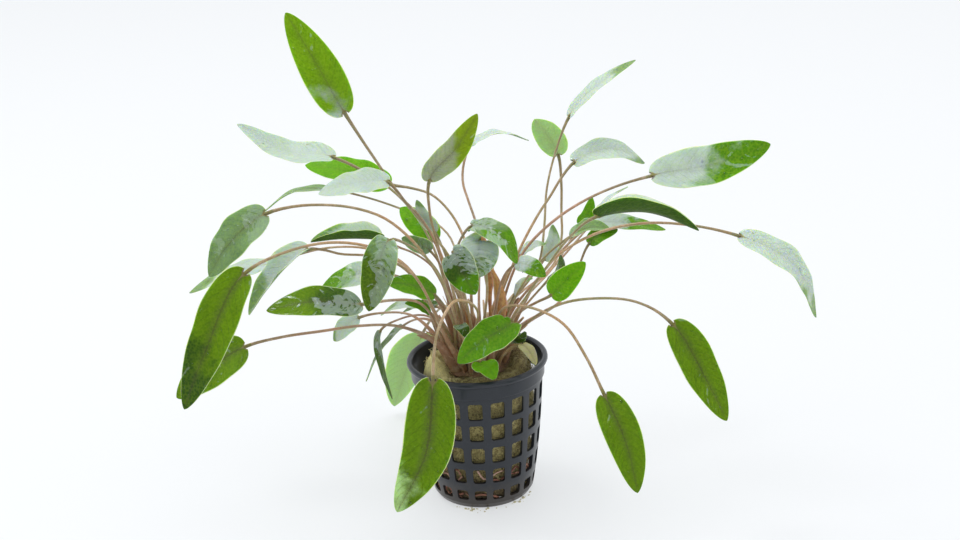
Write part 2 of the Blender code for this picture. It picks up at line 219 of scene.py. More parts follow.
def add_softbox(name, place, target, size, power):
    """A rectangular area light at a place, facing a target."""
    light = bpy.data.lights.new(name, "AREA")
    light.shape = "RECTANGLE"
    light.size, light.size_y = size
    light.energy = power
    lamp = bpy.data.objects.new(name, light)
    bpy.context.scene.collection.objects.link(lamp)
    lamp.location = place
    lamp.rotation_mode = "QUATERNION"
    lamp.rotation_quaternion = (Vector(target) - Vector(place)).to_track_quat("-Z", "Y")


for name, place, size, power in [
        ("top_softbox", (0.0, 0.15, 1.15), (1.6, 1.3), 5.0),
        ("left_softbox", (-1.1, -0.2, 0.7), (0.9, 0.9), 1.9),
        ("right_softbox", (1.1, -0.4, 0.7), (0.9, 0.9), 2.1),
        ("front_fill", (0.2, -1.2, 0.45), (1.4, 0.5), 2.2),
        ("key_lamp", (-0.45, 0.25, 1.15), (0.30, 0.30), 3.0)]:
    add_softbox(name, place, (0.0, 0.0, 0.06), size, power)
bpy.context.scene.view_settings.view_transform = "Standard"


# Net pot: injection-moulded black-blue plastic with a rolled lip, a plain collar and five
# rows of eighteen windows with rounded corners. The wall is turned, the windows are cut by
# cutters that Geometry Nodes repeat round the axis, and the slots of the floor by six boxes.
pot_height = 54.0 * MM
pot_wall = 1.2 * MM
pot_outside = [(0.0, 16.9), (0.5, 17.6), (2.4, 18.8), (10.0, 20.15), (18.8, 21.4), (28.0, 22.45),
               (37.0, 23.25), (46.4, 23.9), (46.8, 24.5), (47.1, 24.6), (51.4, 24.7), (51.8, 25.2),
               (52.1, 25.75), (52.7, 26.0), (53.4, 25.9), (53.85, 25.5), (54.0, 25.0)]
pot_inside = [(53.85, 24.4), (53.3, 23.9), (46.0, 23.0), (37.0, 22.05), (28.0, 21.25), (18.8, 20.2),
              (10.0, 18.95), (3.4, 17.75), (1.9, 16.9), (1.5, 16.2)]
pot_facets = 144
window_columns = 18
window_rows = [(41.6, 6.5, 5.2), (32.8, 6.5, 5.05), (23.4, 6.5, 4.85), (14.5, 6.0, 4.6), (6.1, 4.2, 4.4)]
window_corner = 0.9 * MM
window_turn = math.radians(6.0)
slot_count = 6
slot_size = (6.0 * MM, 3.0 * MM, 6.0 * MM)
slot_radius = 11.0 * MM


def turned_mesh(name, profile, facets):
    """A closed mesh turned about Z from (height, radius) pairs in millimetres."""
    bm = bmesh.new()
    points = [bm.verts.new((radius * MM, 0.0, height * MM)) for height, radius in profile]
    edges = [bm.edges.new(pair) for pair in zip(points, points[1:])]
    bmesh.ops.spin(bm, geom=points + edges, cent=(0, 0, 0), axis=(0, 0, 1), dvec=(0, 0, 0),
                   angle=math.tau, steps=facets)
    bmesh.ops.remove_doubles(bm, verts=bm.verts, dist=0.000001)
    bmesh.ops.recalc_face_normals(bm, faces=bm.faces)
    mesh = bpy.data.meshes.new(name)
    bm.to_mesh(mesh)
    bm.free()
    return mesh


def apply_tree(piece):
    """Puts the plain mesh that a piece's modifiers make back on the piece, without them."""
    evaluated = piece.evaluated_get(bpy.context.evaluated_depsgraph_get())
    mesh = bpy.data.meshes.new_from_object(evaluated)
    piece.modifiers.clear()
    piece.data = mesh


def new_recipe(name, inputs):
    """A Geometry Nodes tree with a geometry input and output and the named number inputs.
    Gives the tree, its maker and the outputs of its input node by name."""
    tree = bpy.data.node_groups.new(name, "GeometryNodeTree")
    tree.interface.new_socket("Geometry", in_out="INPUT", socket_type="NodeSocketGeometry")
    tree.interface.new_socket("Geometry", in_out="OUTPUT", socket_type="NodeSocketGeometry")
    for title, kind in inputs:
        tree.interface.new_socket(title, in_out="INPUT", socket_type=kind)
    maker = Maker(tree)
    entry = tree.nodes.new("NodeGroupInput")
    given = {socket.name: Value(maker, socket) for socket in entry.outputs if socket.name}
    return tree, maker, given


def use_recipe(piece, tree, **values):
    """Puts a Geometry Nodes tree on a piece, with the values of its named inputs."""
    modifier = piece.modifiers.new(tree.name, "NODES")
    modifier.node_group = tree
    for item in tree.interface.items_tree:
        if item.in_out == "INPUT" and item.name in values:
            modifier[item.identifier] = values[item.name]


def end_recipe(tree, maker, result, finish):
    """Ends a tree with Realize Instances and Set Material."""
    whole = maker.node("GeometryNodeRealizeInstances", {}, {0: result})
    painted = maker.node("GeometryNodeSetMaterial", {}, {"Geometry": whole, "Material": finish})
    leave = tree.nodes.new("NodeGroupOutput")
    tree.links.new(painted.socket, leave.inputs[0])


pot_finish, make, shader = new_finish("pot_plastic", Specular_IOR_Level=0.32, Coat_Roughness=0.12)
place = make.node("ShaderNodeTexCoord", output=3)
grain = make.noise(2600.0, place, 2.0)
smear = make.noise(130.0, place, 4.0, 0.6, 0.8)
dust = make.step(make.noise(420.0, place, 5.0, 0.7), 0.56, 0.75)
height = make.node("ShaderNodeSeparateXYZ", {}, {0: place}, 2)
scum = make.step(make.noise(300.0, place, 3.0) * 0.012 - height, -0.008, 0.004)
plastic = make.blend(smear, (0.008, 0.011, 0.017), (0.016, 0.021, 0.030))
plastic = make.blend(dust * 0.22, plastic, (0.10, 0.11, 0.12))
make.feed(shader.inputs["Base Color"], make.blend(scum * 0.35, plastic, (0.10, 0.075, 0.05)))
make.feed(shader.inputs["Roughness"], 0.26 + smear * 0.22 + dust * 0.2)
make.feed(shader.inputs["Coat Weight"], 0.30 - dust * 0.25)
make.feed(shader.inputs["Normal"], make.node(
    "ShaderNodeBump", {}, {"Strength": 0.25, "Distance": 0.0001, "Height": grain * 0.5 + smear}))

tree, make, given = new_recipe("pot_windows", [
    ("Columns", "NodeSocketInt"), ("Height", "NodeSocketFloat"), ("Tall", "NodeSocketFloat"),
    ("Wide", "NodeSocketFloat"), ("Corner", "NodeSocketFloat"), ("Reach", "NodeSocketFloat"),
    ("Turn", "NodeSocketFloat")])
outline = make.node("GeometryNodeCurvePrimitiveQuadrilateral", {}, {"Width": given["Tall"], "Height": given["Wide"]})
rounded = make.node("GeometryNodeFilletCurve", {"mode": "POLY"}, {
    "Curve": outline, "Count": 5, "Radius": given["Corner"], "Limit Radius": True})
plate = make.node("GeometryNodeFillCurve", {"mode": "NGONS"}, {"Curve": rounded})
block = make.node("GeometryNodeExtrudeMesh", {}, {
    "Mesh": plate, "Offset": make.node("ShaderNodeCombineXYZ", {}, {"Z": 1.0}), "Offset Scale": given["Reach"]})
under = make.node("GeometryNodeFlipFaces", {}, {"Mesh": plate})
closed = make.tree.nodes.new("GeometryNodeJoinGeometry")
make.tree.links.new(block.socket, closed.inputs[0])
make.tree.links.new(under.socket, closed.inputs[0])
cutter = make.node("GeometryNodeMergeByDistance", {}, {
    "Geometry": Value(make, closed.outputs[0]), "Distance": 0.000001})
ring = make.node("GeometryNodeMeshCircle", {}, {"Vertices": given["Columns"], "Radius": 0.014})
ring = make.node("GeometryNodeTransform", {}, {
    "Geometry": ring, "Translation": make.node("ShaderNodeCombineXYZ", {}, {"Z": given["Height"]}),
    "Rotation": make.node("ShaderNodeCombineXYZ", {}, {"Z": given["Turn"]})})
spot = make.node("GeometryNodeInputPosition")
outward = make.node("ShaderNodeVectorMath", {"operation": "MULTIPLY"}, {0: spot, 1: (1.0, 1.0, 0.0)})
facing = make.node("FunctionNodeAlignEulerToVector", {"axis": "Z"}, {"Vector": outward})
facing = make.node("FunctionNodeAlignEulerToVector", {"axis": "X", "pivot_axis": "Z"}, {
    "Rotation": facing, "Vector": (0.0, 0.0, 1.0)})
copies = make.node("GeometryNodeInstanceOnPoints", {}, {
    "Points": ring, "Instance": cutter, "Rotation": facing})
copies = make.node("GeometryNodeRealizeInstances", {}, {0: copies})
cut = make.node("GeometryNodeMeshBoolean", {"operation": "DIFFERENCE", "solver": "EXACT"}, {
    "Mesh 1": given["Geometry"], "Mesh 2": copies})
end_recipe(tree, make, cut, pot_finish)

pot_profile = pot_outside + pot_inside
pot_mesh = turned_mesh("net_pot", [(0.0, 0.0)] + pot_profile + [(1.5, 0.0)], pot_facets)
pot = new_object("net_pot", pot_mesh)
for centre, tall, wide in window_rows:
    use_recipe(pot, tree, Columns=window_columns, Height=centre * MM, Tall=tall * MM,
               Wide=wide * MM, Corner=window_corner, Reach=0.014, Turn=window_turn)
bm = bmesh.new()
for k in range(slot_count):
    turn = Matrix.Rotation(math.tau * k / slot_count, 4, "Z") @ Matrix.Translation((slot_radius, 0.0, 0.0))
    bmesh.ops.create_cube(bm, matrix=turn @ Matrix.Diagonal((*slot_size, 1.0)))
slot_mesh = bpy.data.meshes.new("slot_cutter")
bm.to_mesh(slot_mesh)
bm.free()
slot_cutter = new_object("slot_cutter", slot_mesh)
slots = pot.modifiers.new("slots", "BOOLEAN")
slots.object = slot_cutter
apply_tree(pot)
bpy.data.objects.remove(slot_cutter)
pot.data.materials.clear()
pot.data.materials.append(pot_finish)
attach(pot, "root")
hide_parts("pot")


# Leaves: each is one growth, a round speckled stalk that widens into a sheath at its foot
# and runs on as the midrib of a thin, wet, pointed blade with a slightly heart-shaped base.
# Stalk and blade are lofted as one closed skin along the middle line of the CAD leaf.
ring_points = 28
stalk_rings = 34
blade_rings = 46
tip_allowance = 0.4 * MM
blade_depth = 0.52 * MM
outline_base = 0.34
outline_tip = 0.66
outline_peak = outline_base / (outline_base + outline_tip)
outline_widest = outline_peak ** outline_base * (1.0 - outline_peak) ** outline_tip

skin_colours = {
    "fresh": (0.122, 0.365, 0.002),
    "bright": (0.185, 0.370, 0.002),
    "gold": (0.240, 0.355, 0.008),
    "leaf": (0.095, 0.275, 0.004),
    "olive": (0.126, 0.248, 0.002),
    "moss": (0.070, 0.140, 0.006),
    "deep": (0.036, 0.092, 0.006),
    "jade": (0.175, 0.290, 0.120),
    "tender": (0.460, 0.670, 0.280),
    # The next colour is the pale grey of glossy blades that mirror the white room: a painted reflection.
    "glare_grey": (0.490, 0.570, 0.535),
    "dusty": (0.400, 0.440, 0.300),
    "straw": (0.450, 0.400, 0.240),
}
# Colour of the upper side near the stalk and near the tip, where along the blade the one
# gives way to the other, colour of the underside, how much of the upper side lies under
# water and is painted pale there as reflections, how strong the markings are, and the
# leaves that look so.
leaf_looks = [
    ("olive", "tender", 0.84, "olive", 0.10, 1.0, ["front_hanging"]),
    ("olive", "olive", 0.50, "olive", 0.10, 0.8, ["right_mid_hang", "right_front_hang", "far_left_low"]),
    ("glare_grey", "bright", 0.10, "olive", 0.10, 0.5, ["tall_left"]),
    ("dusty", "gold", 0.46, "olive", 0.20, 0.6, ["upright_centre"]),
    # The outer half of big_left_front is painted the darkest green: painted shade where the leaf behind it blocks
    # the light from behind.
    ("olive", "deep", 0.53, "olive", 0.10, 0.8, ["big_left_front"]),
    ("fresh", "fresh", 0.50, "fresh", 0.05, 0.3, ["lime_behind_left", "lime_right", "lime_behind_stalks",
                                                 "small_upright_right", "cupped_front"]),
    ("leaf", "leaf", 0.50, "fresh", 0.15, 0.6, ["vivid_centre", "small_olive_left",
                                               "red_stalk_right"]),
    ("leaf", "leaf", 0.50, "fresh", 0.03, 0.6, ["centre_front_bright"]),
    ("glare_grey", "leaf", 0.45, "tender", 0.45, 0.4, ["centre_right_small", "under_arch_right"]),
    ("tender", "fresh", 0.60, "tender", 0.05, 0.2, ["back_green", "back_low_left"]),
    ("deep", "leaf", 0.50, "leaf", 0.50, 0.7, ["centre_glossy"]),
    ("deep", "olive", 0.42, "leaf", 0.45, 0.7, ["streaky_left"]),
    ("jade", "moss", 0.30, "leaf", 0.41, 0.6, ["dark_hanging_centre"]),
    ("jade", "leaf", 0.42, "leaf", 0.50, 0.6, ["arched_centre"]),
    ("deep", "deep", 0.50, "leaf", 0.35, 0.6, ["small_green_centre", "dark_grey_right", "thin_left",
                                              "beside_pot_left", "dark_round_right", "dark_grey_left"]),
    # These two leaves show their undersides in shade; the darkest green given to those undersides is partly their
    # own tone and partly painted shade.
    ("glare_grey", "jade", 0.60, "deep", 0.30, 0.3, ["folded_top_left", "dark_arch_right"]),
    ("jade", "jade", 0.50, "leaf", 0.30, 0.6, ["arch_left", "folded_striped_right", "edge_on_left",
                                              "small_folded_left"]),
    ("glare_grey", "jade", 0.48, "leaf", 0.60, 0.5, ["heart_centre"]),
    ("glare_grey", "leaf", 0.48, "leaf", 0.40, 0.3, ["white_green_left", "large_pale_right"]),
    ("glare_grey", "jade", 0.72, "jade", 0.30, 0.2, ["drooping_far_right", "spear_right", "pale_right_top",
                                                "striped_left", "folded_far_left", "small_pale_left",
                                                "back_edge_on", "pale_edge_left", "thin_pale_centre",
                                                "blurred_behind_right", "bluish_small",
                                                "pale_back_right", "thin_spear_left"]),
    ("glare_grey", "glare_grey", 0.50, "tender", 0.30, 0.1, ["pale_upper_left", "pale_mid_left"]),
    ("straw", "straw", 0.50, "straw", 0.10, 0.5, ["withered_front_right"]),
]


def leaf_layers(node):
    """The rings of four corners of a CAD leaf, from its foot to its tip, and the tip."""
    bm = bmesh.new()
    bm.from_mesh(frame["nodes"][node].data)
    bmesh.ops.remove_doubles(bm, verts=bm.verts, dist=0.000001)
    layers = []
    for start in bm.verts:
        if len(start.link_edges) != 4:
            continue
        layers, seen = [{start}], {start}
        while layers[-1]:
            beyond = {edge.other_vert(vert) for vert in layers[-1] for edge in vert.link_edges}
            layers.append(beyond - seen)
            seen |= beyond
        layers.pop()
        if all(len(layer) == 4 for layer in layers[1:]):
            break
    rings = [np.array([vert.co for vert in layer]) for layer in layers[:0:-1]]
    tip = np.array(next(iter(layers[0])).co)
    bm.free()
    return rings, tip


def unit(vector):
    """The vector or rows of vectors at length one."""
    return vector / np.linalg.norm(vector, axis=-1, keepdims=True)


def leaf_stations(node):
    """A CAD leaf as stations: middle, half width, raise of the edges and upward direction
    of each ring, the number of stalk rings, and the tip."""
    rings, tip = leaf_layers(node)
    pairings = [((0, 1), (2, 3)), ((0, 2), (1, 3)), ((0, 3), (1, 2))]
    stations = []
    side = up = None
    for ring in rings[::-1]:
        spans = []
        for first, second in pairings:
            for pair, other in ((first, second), (second, first)):
                span = ring[pair[1]] - ring[pair[0]]
                across = ring[other[1]] - ring[other[0]]
                clear = abs(np.dot(unit(span), unit(across)))
                worth = np.linalg.norm(span) if side is None else abs(np.dot(unit(span), side))
                spans.append((worth - 10.0 * clear * (clear > 0.5), pair, other))
        _, pair, other = max(spans)
        span = ring[pair[1]] - ring[pair[0]]
        across = ring[other[1]] - ring[other[0]]
        side_here = unit(span) if side is None or np.dot(span, side) > 0 else -unit(span)
        up_here = unit(across) if up is None or np.dot(across, up) > 0 else -unit(across)
        side, up = side_here, up_here
        middle = ring[list(other)].mean(0)
        edges = ring[list(pair)].mean(0)
        stations.append([middle, np.linalg.norm(span) / 2, np.dot(edges - middle, up),
                         np.linalg.norm(across) / 2, side, up])
    stations = stations[::-1]
    lift = sum(station[2] for station in stations)
    if lift < 0:
        for station in stations:
            station[2] *= -1
            station[5] = -station[5]
    flat = [station[3] < blade_depth for station in stations]
    return stations, flat.index(True), tip


def along_curve(places, values, wanted):
    """Values at the wanted places, along a smooth curve through the given ones."""
    values = np.asarray(values, float)
    if values.ndim == 1:
        values = values[:, None]
    steps = np.diff(places)
    slopes = np.diff(values, axis=0) / steps[:, None]
    tangents = np.vstack([slopes[:1], (slopes[:-1] * steps[1:, None] + slopes[1:] * steps[:-1, None])
                          / (steps[1:] + steps[:-1])[:, None], slopes[-1:]])
    index = np.clip(np.searchsorted(places, wanted) - 1, 0, len(steps) - 1)
    h = steps[index][:, None]
    t = ((wanted - places[index]) / steps[index])[:, None]
    return ((1 + 2 * t) * (1 - t) ** 2 * values[index] + t * (1 - t) ** 2 * h * tangents[index]
            + t * t * (3 - 2 * t) * values[index + 1] + t * t * (t - 1) * h * tangents[index + 1])


def blade_outline(share):
    """Half width of a blade at a share of its length, as a share of the widest."""
    return share ** outline_base * (1.0 - share) ** outline_tip / outline_widest


def leaf_skin(node, rng):
    """Rings of points of a leaf's skin from its foot to its tip, with each ring's place in
    the growth (-1 at the foot, 0 at the collar, 1 at the tip)."""
    stations, collar, tip = leaf_stations(node)
    tip = tip - unit(tip - stations[-1][0]) * tip_allowance
    middles = np.array([s[0] for s in stations] + [tip])
    places = np.concatenate([[0.0], np.cumsum(np.linalg.norm(np.diff(middles, axis=0), axis=1))])
    collar_place = places[collar - 1]
    length = places[-1] - collar_place
    half = max(s[1] for s in stations[collar:])
    stalk = np.linspace(0.0, 1.0, stalk_rings) * collar_place
    shares = 0.5 - 0.5 * np.cos(np.linspace(0.0, 1.0, blade_rings + 2)[1:-1] * math.pi)
    shares = shares * (0.75 + 0.25 * shares)
    blade = collar_place + shares * length
    wanted = np.concatenate([stalk, blade])
    centre = along_curve(places, middles, wanted)
    ahead = unit(np.gradient(np.vstack([centre, tip]), axis=0)[:-1])
    ups = along_curve(places, [s[5] for s in stations] + [stations[-1][5]], wanted)
    side = unit(np.cross(ahead, ups))
    ups = np.cross(side, ahead)
    fold = stations[collar + 2][2] / stations[collar + 2][1]

    steps = np.arange(ring_points) / ring_points * math.tau
    phase = rng.uniform(0.0, math.tau, 4)
    waves = rng.uniform(1.6, 3.2)
    ripple = min(0.07 * half, 0.5 * MM) * rng.uniform(0.5, 1.2)
    lobe = rng.uniform(0.10, 0.22) * half
    size = 0.72 + 0.28 * min(1.2, half / (6.0 * MM))
    sheath_width = rng.uniform(0.45, 1.5) * size * MM
    sheath_length = rng.uniform(9.0, 19.0) * MM
    skin = []
    growth = []
    for k in range(len(wanted)):
        share = 0.0 if k < stalk_rings else shares[k - stalk_rings]
        if share == 0.0:
            travel = stalk[k] / collar_place
            sheath = math.exp(-(stalk[k] / sheath_length) ** 2)
            radius = (0.47 + 0.22 * travel ** 16) * size * (1.0 + 0.06 * math.sin(9.0 * travel + phase[0])) * MM
            x = (radius + sheath_width * sheath) * np.cos(steps)
            z = (radius * 0.9 + 0.25 * size * sheath * MM) * np.sin(steps)
            z -= 0.45 * sheath * sheath_width * np.cos(steps) ** 2
            shift = 0.0 * x
            growth.append(travel - 1.0)
        else:
            wide = half * blade_outline(share)
            u = np.cos(steps)
            upper = np.sin(steps) >= 0.0
            x = wide * np.sign(u) * np.abs(u) ** 0.9
            reach = np.abs(u)
            edge = ripple * np.sin(share * waves * math.tau + phase[1] + np.where(u > 0, 0.0, phase[2]))
            z = fold * wide * reach ** 1.25 + edge * reach ** 2.5 * math.sin(math.pi * min(1.0, share * 1.3))
            rib = np.exp(-(x / (0.75 * MM)) ** 2) * (1.0 - share)
            z -= 0.16 * MM * np.exp(-(x / (0.8 * MM)) ** 2) * (1.0 - share)
            thick = (0.10 + 0.10 * (1.0 - reach ** 2)) * MM
            body = math.exp(-share / 0.035)
            z = z + np.where(upper, 1.0, -1.0) * thick * np.sqrt(np.maximum(0.0, 1.0 - reach ** 6))
            z = z + np.where(upper, 0.35, -1.0) * rib * (0.30 + 0.3 * body) * MM
            shift = -lobe * reach ** 2 * math.exp(-share / 0.09)
            growth.append(share)
        skin.append(centre[k] + np.outer(x, side[k]) + np.outer(z, ups[k]) + np.outer(shift, ahead[k]))
    foot = skin[0] - ahead[0] * 3.0 * MM
    return [foot] + skin, [-1.05] + growth, tip, half


def leaf_mesh(name, node, rng):
    """The closed mesh of one leaf, with its growth and across coordinates and its underside as point attributes."""
    skin, growth, tip, half = leaf_skin(node, rng)
    count = len(skin)
    points = np.vstack(skin + [tip[None, :]])
    faces = [list(range(ring_points))[::-1]]
    for ring in range(count - 1):
        a, b = ring * ring_points, (ring + 1) * ring_points
        for k in range(ring_points):
            n = (k + 1) % ring_points
            faces.append([a + k, a + n, b + n, b + k])
    last = (count - 1) * ring_points
    faces += [[last + k, last + (k + 1) % ring_points, len(points) - 1] for k in range(ring_points)]
    mesh = bpy.data.meshes.new(name)
    mesh.from_pydata(points.tolist(), [], faces)
    steps = np.arange(ring_points) / ring_points * math.tau
    across = np.tile(np.cos(steps), count)
    under = np.tile((np.sin(steps) < -0.01).astype(float), count)
    grown = np.repeat(growth, ring_points)
    for title, values, last_value in (("across", across, 0.0), ("growth", grown, 1.0), ("under", under, 0.0)):
        attribute = mesh.attributes.new(title, "FLOAT", "POINT")
        attribute.data.foreach_set("value", np.append(values, last_value).astype(np.float32))
    blade_start = 1 + stalk_rings * ring_points
    for face in mesh.polygons:
        face.material_index = int(face.index >= blade_start - ring_points)
    mesh.shade_smooth()
    bm = bmesh.new()
    bm.from_mesh(mesh)
    bmesh.ops.recalc_face_normals(bm, faces=bm.faces)
    bm.to_mesh(mesh)
    bm.free()
    return mesh


def blade_finish(name, near, far, change, below, wet, marks):
    """The skin of a blade: mottled, with arched side veins, a speckled brown band along the
    midrib, a pale rim that is a painted highlight, and sharp-edged patches and streaks where
    water lies on it, glossy and painted pale as reflections of the white room."""
    finish, make, shader = new_finish(
        name, IOR=1.38, Specular_IOR_Level=0.12, Coat_Roughness=0.05, Coat_IOR=1.45,
        Subsurface_Weight=0.8, Subsurface_Scale=0.001)
    shader.inputs["Subsurface Radius"].default_value = (0.35, 0.50, 0.05)
    place = make.node("ShaderNodeTexCoord", output=3)
    across = make.node("ShaderNodeAttribute", {"attribute_name": "across"}, output=2)
    growth = make.node("ShaderNodeAttribute", {"attribute_name": "growth"}, output=2)
    under = make.node("ShaderNodeAttribute", {"attribute_name": "under"}, output=2)
    reach = across.maths("ABSOLUTE", across)
    mottle = make.noise(190.0, place, 4.0, 0.6)
    drift = make.noise(70.0, place, 2.0)
    grain = make.noise(1700.0, place, 3.0, 0.65)
    cells = make.node("ShaderNodeTexVoronoi", {}, {"Vector": place, "Scale": 1100.0})
    sweep = growth * 13.0 - reach ** 1.4 * 2.4 + mottle * 0.8
    wave = (sweep * math.pi).maths("SINE", sweep * math.pi)
    vein = (1.0 - make.step(wave.maths("ABSOLUTE", wave), 0.0, 0.3)) * make.step(reach, 0.05, 0.3)
    along = make.node("ShaderNodeCombineXYZ", {}, {"X": sweep * 0.8, "Y": across * 1.3, "Z": mottle * 1.5})
    streak = make.noise(1.7, along, 4.0, 0.65)
    pool = make.noise(120.0, place, 3.0, 0.55, 0.7)
    wet_level = streak * 0.62 + pool * 0.38 + wave * 0.035
    level = 0.64 - 0.15 * wet
    wet_film_glare = make.step(wet_level, level, level + 0.018) * (1.0 - under)

    wet_sheet_glare = make.noise(75.0, place, 3.0, 0.5) + (0.45 - growth) * 0.30
    holes = make.step(streak * 0.6 + mottle * 0.4, 0.42, 0.46)
    wet_sheet_glare = make.step(wet_sheet_glare, 0.60 - 0.16 * wet, 0.615 - 0.16 * wet) * holes * (1.0 - under)

    turn = make.step(growth + across * 0.13 + (drift - 0.5) * 0.9 + (mottle - 0.5) * 0.4,
                     change - 0.10, change + 0.10)
    plain = 0.2 + 0.8 * marks
    skin = make.blend(turn, skin_colours[near], skin_colours[far])
    skin = make.blend(under, skin, skin_colours[below])
    above = 1.0 - under * 0.75
    dark = (1.0 - make.step(mottle, 0.32, 0.62)) * above
    skin = make.blend(dark * (0.26 * plain), skin, (0.022, 0.056, 0.003))
    bright = make.step(cells, 0.25, 0.8) * above
    skin = make.blend(bright * (0.04 + 0.28 * skin_colours[near][1]), skin, (0.42, 0.64, 0.03))
    skin = make.blend(make.step(grain, 0.48, 0.62) * (0.17 * plain), skin, (0.030, 0.065, 0.004))
    skin = make.blend(vein * (0.26 * plain), skin, (0.045, 0.085, 0.008))
    band = 1.0 - make.step(reach + growth * 0.14, 0.04, 0.42)
    speckle = make.step(make.noise(2300.0, place, 2.0, 0.7), 0.40, 0.62)
    skin = make.blend(band * (0.26 + speckle * 0.44) * marks, skin, (0.080, 0.075, 0.036))
    line = 1.0 - make.step(reach + growth * 0.05, 0.015, 0.085)
    skin = make.blend(line * (0.45 * marks), skin, (0.065, 0.042, 0.025))
    # Pale rim along the edge: a painted highlight of the light caught at the blade's edge.
    skin = make.blend(make.step(reach, 0.95, 0.985) * 0.75, skin, (0.70, 0.76, 0.52))
    # The wet sheets and films are painted pale grey-green: painted reflections of the white room on the water.
    skin = make.blend(wet_sheet_glare * max(0.0, 1.1 * wet - 0.15), skin, (0.48, 0.56, 0.52))
    skin = make.blend(wet_film_glare * (0.12 + 0.36 * wet), skin, (0.58, 0.68, 0.64))
    stem = 1.0 - make.step(growth * (1.0 + 30.0 * reach), 0.03, 0.10)
    skin = make.blend(stem * 0.9, skin, (0.250, 0.210, 0.095))
    make.feed(shader.inputs["Base Color"], skin)
    make.feed(shader.inputs["Roughness"], 0.40 - wet_film_glare * 0.24 + grain * 0.12)
    make.feed(shader.inputs["Coat Weight"], 0.05 + wet_film_glare * 0.8 + wet_sheet_glare * (0.3 * wet))
    relief = cells * 0.25 + mottle * 0.7 - vein * 0.5 + streak * (0.5 + 1.9 * wet) + grain * 0.12
    make.feed(shader.inputs["Normal"], make.node(
        "ShaderNodeBump", {}, {"Strength": 0.45, "Distance": 0.0005, "Height": relief}))
    return finish


def stalk_finish(name, first, second):
    """The skin of a stalk: streaked along, speckled brown, rosy at its foot and darkened there as painted shade of
    the crowded crown, green at its top.
    """
    finish, make, shader = new_finish(
        name, Specular_IOR_Level=0.4, Coat_Roughness=0.12, Subsurface_Weight=0.3, Subsurface_Scale=0.0006)
    place = make.node("ShaderNodeTexCoord", output=3)
    growth = make.node("ShaderNodeAttribute", {"attribute_name": "growth"}, output=2)
    speck = make.step(make.noise(1500.0, place, 3.0, 0.7), 0.44, 0.62)
    streak = make.noise(240.0, place, 3.0, 0.6)
    hue = make.step(make.noise(45.0, place, 2.0, 0.5), 0.42, 0.62)
    # The foot is rosy brown and dark: its own colour, deepened as painted shade where the stalks crowd at the crown.
    foot = 1.0 - make.step(growth + streak * 0.25, -0.86, -0.45)
    collar_green = make.step(growth + streak * 0.12, -0.36, 0.05)
    bark = make.blend(hue, first, second)
    bark = make.blend(foot * 0.8, bark, (0.33, 0.170, 0.095))
    bark = make.blend(collar_green * 0.7, bark, (0.20, 0.170, 0.065))
    bark = make.blend(make.step(streak, 0.5, 0.62) * 0.35, bark, (0.62, 0.47, 0.31))
    bark = make.blend(speck * 0.32, bark, (0.15, 0.075, 0.040))
    make.feed(shader.inputs["Base Color"], bark)
    make.feed(shader.inputs["Roughness"], 0.28 + streak * 0.2)
    make.feed(shader.inputs["Coat Weight"], 0.2 + streak * 0.5)
    make.feed(shader.inputs["Normal"], make.node(
        "ShaderNodeBump", {}, {"Strength": 0.3, "Distance": 0.0001, "Height": speck + streak}))
    return finish


stalk_finishes = [
    stalk_finish("stalk_tan", (0.52, 0.325, 0.160), (0.36, 0.280, 0.130)),
    stalk_finish("stalk_olive", (0.34, 0.300, 0.120), (0.46, 0.350, 0.200)),
    stalk_finish("stalk_rosy", (0.47, 0.265, 0.155), (0.31, 0.215, 0.120)),
]

blade_finish_of = {}
for number, (near, far, change, below, wet, marks, names) in enumerate(leaf_looks):
    finish = blade_finish(f"blade_{number}_{near}_{far}", near, far, change, below, wet, marks)
    blade_finish_of.update({name: finish for name in names})
leaf_nodes = sorted(name for name in frame["nodes"] if name.startswith("leaf_"))
for number, node in enumerate(leaf_nodes):
    name = node[len("leaf_"):]
    mesh = leaf_mesh(name, node, np.random.default_rng(number))
    leaf = new_object(name, mesh, stalk_finishes[number % 3])
    mesh.materials.append(blade_finish_of[name])
    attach(leaf, "root")
    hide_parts(node)


# Mineral wool: a felted plug of yellow-brown fibres that fills the pot behind its windows
# and bulges round the crown, yellow on the left, olive on the right and mossy in front.
wool_grid = 0.7 * MM
wool_gap = 4.0 * MM
wool_lumps = [(-14.8, -4.5, 4.3, 4.6), (15.5, -4.0, 4.2, 3.0)]
wool_finish, make, shader = new_finish("felted_wool", Sheen_Weight=0.2)
place = make.node("ShaderNodeTexCoord", output=3)
east = make.node("ShaderNodeSeparateXYZ", {}, {0: place}, 0)
height = make.node("ShaderNodeSeparateXYZ", {}, {0: place}, 2)
strand = make.noise(1100.0, place, 5.0, 0.75, 1.5)
patch = make.noise(130.0, place, 3.0, 0.6)
wool_colour = make.blend(make.step(strand, 0.40, 0.58), (0.120, 0.085, 0.022), (0.640, 0.550, 0.220))
lump = 1.0 - make.step(east + (patch - 0.5) * 0.012, -0.013, -0.007)
wool_colour = make.blend(lump * 0.6, wool_colour, (0.700, 0.600, 0.240))
wool_colour = make.blend((1.0 - make.step(patch, 0.36, 0.54)) * 0.45, wool_colour, (0.090, 0.070, 0.025))
crest = lump * make.step(height, 0.049, 0.052)
wool_colour = make.blend(crest * (0.45 + 0.5 * make.step(strand, 0.40, 0.54)), wool_colour, (0.980, 0.890, 0.400))
moss = make.step(patch, 0.40, 0.56) * (1.0 - lump) * make.step(height, 0.046, 0.050)
wool_colour = make.blend(moss * 0.6, wool_colour, (0.170, 0.125, 0.050))
# Darker brown towards the bottom of the plug.
low_darkening = 1.0 - make.step(height + patch * 0.012, 0.012, 0.026)
wool_colour = make.blend(low_darkening * 0.7, wool_colour, (0.110, 0.062, 0.036))
make.feed(shader.inputs["Base Color"], wool_colour)
make.feed(shader.inputs["Roughness"], 0.80 + strand * 0.15)
make.feed(shader.inputs["Normal"], make.node(
    "ShaderNodeBump", {}, {"Strength": 0.8, "Distance": 0.0006, "Height": strand}))

